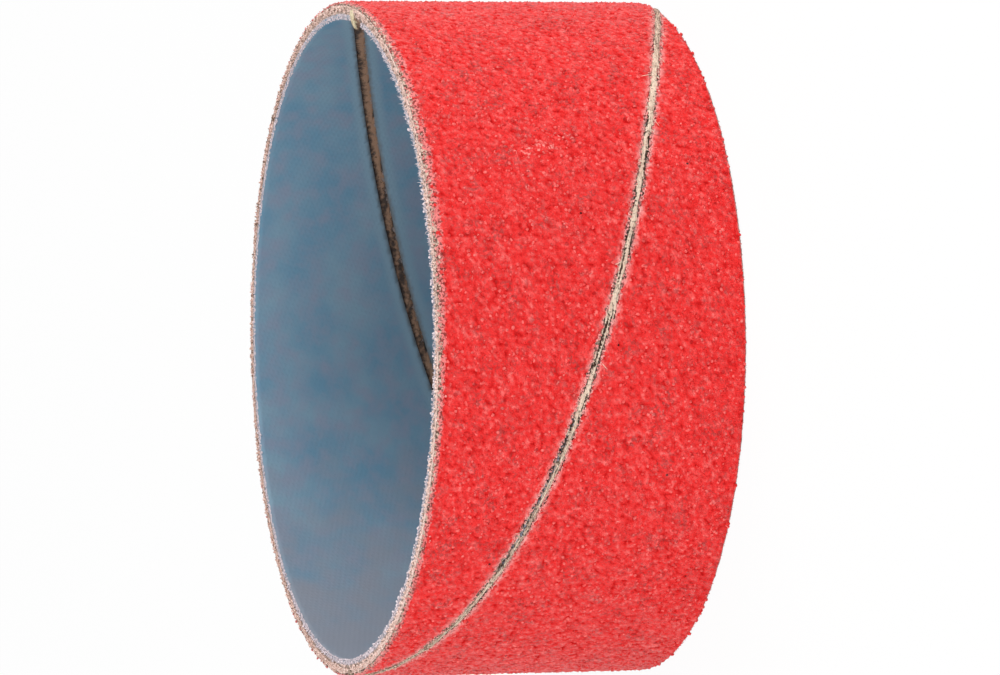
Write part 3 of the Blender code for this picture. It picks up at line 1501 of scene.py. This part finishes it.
@dataclass
class LiningStrip:
    """The inner strip of blue cloth."""

    outer_radius: float
    length: float
    thickness: float = 0.45 * MM
    pitch: float = 48.7 * MM
    seam_gap: float = 0.8 * MM
    seam_azimuth: float = 76.1
    glue: float = 0.24 * MM
    blot_reach: float = 0.38
    # Height in mm and strength
    blots: tuple[tuple[float, float], ...] = (
        (10.3, 0.7),
        (11.3, 0.8),
        (12.2, 1.0),
        (13.1, 0.9),
        (14.2, 0.9),
        (19.3, 0.5),
        (21.3, 0.9),
        (23.0, 0.9),
    )
    winding: Winding = field(init=False)

    def __post_init__(self) -> None:
        """Work the winding out from the frame's lining."""
        inner = self.outer_radius - self.thickness
        self.winding = Winding(inner, self.pitch, self.seam_gap, self.seam_azimuth, self.length)

    def build(self) -> None:
        """Build and dress the strip's pieces."""
        lining = LiningCloth(self.winding, self.thickness + self.glue).make()
        wear(lining, LiningFinish().make())
        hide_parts("lining_strip")
        pale = YarnFinish("pale_yarn", (0.90, 0.80, 0.84), (0.56, 0.47, 0.50), stain_from=0.72).make()
        fuzz = RimFuzz("lining_fuzz", self.winding, 0.0, self.thickness, count=1740, seed=23)
        wear(fuzz.make(), pale)
        ends = EdgeGranules(
            "lining_yarn_ends",
            self.winding,
            depth_low=-0.02 * MM,
            depth_high=self.thickness,
            inset_low=-0.16 * MM,
            inset_high=0.08 * MM,
            count=1600,
            seed=47,
        )
        wear(ends.make(), pale)
        glue = RibbonFinish(
            "old_glue",
            clean=(0.36, 0.21, 0.135),
            # This dark tone paints the shadow along the glue's upper edge and colours its blots.
            tan_and_shadow=(0.062, 0.045, 0.038),
            fluff=(0.30, 0.25, 0.24),
            dark_spots_from=0.66,
            shaded_edge_past=0.9,
        )
        wear(self.glue_line(), glue.make())
        tuft = YarnFinish("loose_yarn", (0.84, 0.74, 0.52), (0.62, 0.50, 0.33), stain_from=0.75)
        wear(LooseYarn(self.winding).make(), tuft.make())

    def glue_line(self) -> bpy.types.Object:
        """Lay the brown glue in the lining's seam, with painted shadow along its upper edge, a few dark blots
        and a paler grey-tan lower edge.

        Returns:
            The bed of glue.
        """
        shape = SeamRibbon(
            "glue_line", self.winding, width=0.92 * MM, low=0.22 * MM, high=0.5 * MM, layer=20.0
        )
        bed = shape.make()
        points = read_points(bed.data)
        across = read_values(bed.data, "across")
        height = points[:, 2] / MM
        blots = np.zeros(len(height))
        for middle, strength in self.blots:
            blots += strength * np.exp(-(((height - middle) / self.blot_reach) ** 2))
        uneven = 0.2 * lumps(points[:, [0, 2]], 1.1 * MM, 5.0)
        # Painted shadow: the glue darkens towards its upper edge, where the lining's edge shades it. The
        # blots add dark patches. Both are kept under tan.
        dark = uneven + np.maximum(0.9 * smoothstep(-0.25, 0.45, across), blots)
        write_values(bed.data, "tan", 0.25 + 0.5 * np.clip(dark, -0.2, 1.1))
        # Paler grey-tan towards the glue's lower edge, kept under fluff.
        write_values(bed.data, "fluff", 1.1 * smoothstep(-0.12, -0.45, across))
        return bed


@dataclass(frozen=True)
class Lamp:
    """A soft square lamp, and where it stands."""

    name: str
    place: tuple[float, float, float]
    size: float
    power: float


@dataclass
class Studio:
    """The floor, the lamps and the camera at the photograph's angle."""

    radius: float
    length: float
    tilt: float = math.radians(17.5)
    roll: float = math.radians(-0.61)
    distance_in_radii: float = 20.0
    radius_in_pixels: float = 335.8
    centre_in_pixels: tuple[float, float] = (488.55, 337.8)
    frame_in_pixels: tuple[float, float] = (1000.0, 675.0)
    sensor: float = 36.0
    sky: float = 0.42
    floor_width: float = 4.0
    floor_gap: float = 0.05 * MM
    lamps: tuple[Lamp, ...] = (
        Lamp("above", (0.42, -0.22, 0.10), 0.30, 0.70),
        Lamp("front", (0.0, -0.55, 0.06), 0.30, 0.74),
        Lamp("below", (-0.42, -0.22, 0.10), 0.30, 1.30),
        Lamp("open_end", (0.10, -0.30, 0.45), 0.30, 0.68),
        Lamp("high", (0.40, 0.05, 0.30), 0.30, 1.25),
    )

    def place_camera(self) -> None:
        """Look along +Y from above the open end, with +X up in the picture."""
        centre = Vector((0.0, 0.0, self.length / 2.0))
        away = self.distance_in_radii * self.radius
        look = Vector((0.0, math.cos(self.tilt), -math.sin(self.tilt)))
        right = Vector((0.0, -math.sin(self.tilt), -math.cos(self.tilt)))
        up = Vector((1.0, 0.0, 0.0))
        c, s = math.cos(self.roll), math.sin(self.roll)
        right, up = right * c + up * s, up * c - right * s
        camera = bpy.data.cameras.new("camera")
        camera.sensor_width = self.sensor
        width, height = self.frame_in_pixels
        focal = self.radius_in_pixels * self.distance_in_radii
        camera.lens = self.sensor * focal / width
        u, v = self.centre_in_pixels
        camera.shift_x = (width / 2.0 - u) / width
        camera.shift_y = (v - height / 2.0) / width
        holder = bpy.data.objects.new("camera", camera)
        bpy.context.scene.collection.objects.link(holder)
        turn = Matrix((right, up, -look)).transposed().to_4x4()
        holder.matrix_world = Matrix.Translation(centre - look * away) @ turn
        bpy.context.scene.camera = holder

    def lay_floor(self) -> None:
        """Lay a white floor just under the sleeve's lower end."""
        bpy.ops.object.select_all(action="DESELECT")
        bpy.ops.mesh.primitive_plane_add(size=self.floor_width, location=(0.0, 0.0, -self.floor_gap))
        floor = bpy.context.object
        floor.name = "floor"
        floor.data.materials.append(FloorFinish().make())

    def add_lamp(self, lamp: Lamp) -> None:
        """Stand one lamp so that it faces the sleeve.

        Args:
            lamp: The lamp.
        """
        data = bpy.data.lights.new(lamp.name, "AREA")
        data.size = lamp.size
        data.energy = lamp.power
        holder = bpy.data.objects.new(lamp.name, data)
        bpy.context.scene.collection.objects.link(holder)
        place = Vector(lamp.place)
        aim = Vector((0.0, 0.0, self.length / 2.0)) - place
        holder.matrix_world = Matrix.Translation(place) @ aim.to_track_quat("-Z", "Y").to_matrix().to_4x4()

    def light(self) -> None:
        """Make the surroundings white, full white where they are seen, and add the lamps."""
        world = bpy.data.worlds.new("surroundings")
        world.use_nodes = True
        nodes, links = world.node_tree.nodes, world.node_tree.links
        sky = nodes["Background"]
        sky.inputs["Color"].default_value = (1.0, 1.0, 1.0, 1.0)
        path = nodes.new("ShaderNodeLightPath")
        seen = path.outputs["Is Camera Ray"]
        for ray in ("Is Glossy Ray", "Is Transmission Ray"):
            either = nodes.new("ShaderNodeMath")
            either.operation = "MAXIMUM"
            links.new(seen, either.inputs[0])
            links.new(path.outputs[ray], either.inputs[1])
            seen = either.outputs[0]
        strength = nodes.new("ShaderNodeMapRange")
        strength.inputs["To Min"].default_value = self.sky
        links.new(seen, strength.inputs["Value"])
        links.new(strength.outputs["Result"], sky.inputs["Strength"])
        bpy.context.scene.world = world
        for lamp in self.lamps:
            self.add_lamp(lamp)

    def build(self) -> None:
        """Set up the whole studio."""
        self.lay_floor()
        self.light()
        self.place_camera()
        bpy.context.scene.view_settings.view_transform = "Standard"


def main() -> None:
    """Build the studio, then the sleeve from the bore outwards."""
    logging.basicConfig(level=logging.INFO, format="%(name)s: %(message)s")
    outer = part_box("abrasive_strip")[1]
    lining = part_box("lining_strip")[1]
    Studio(outer.x, outer.z).build()
    LiningStrip(lining.x, lining.z).build()
    AbrasiveStrip(outer.x, outer.z).build()


if __name__ == "__main__":
    main()
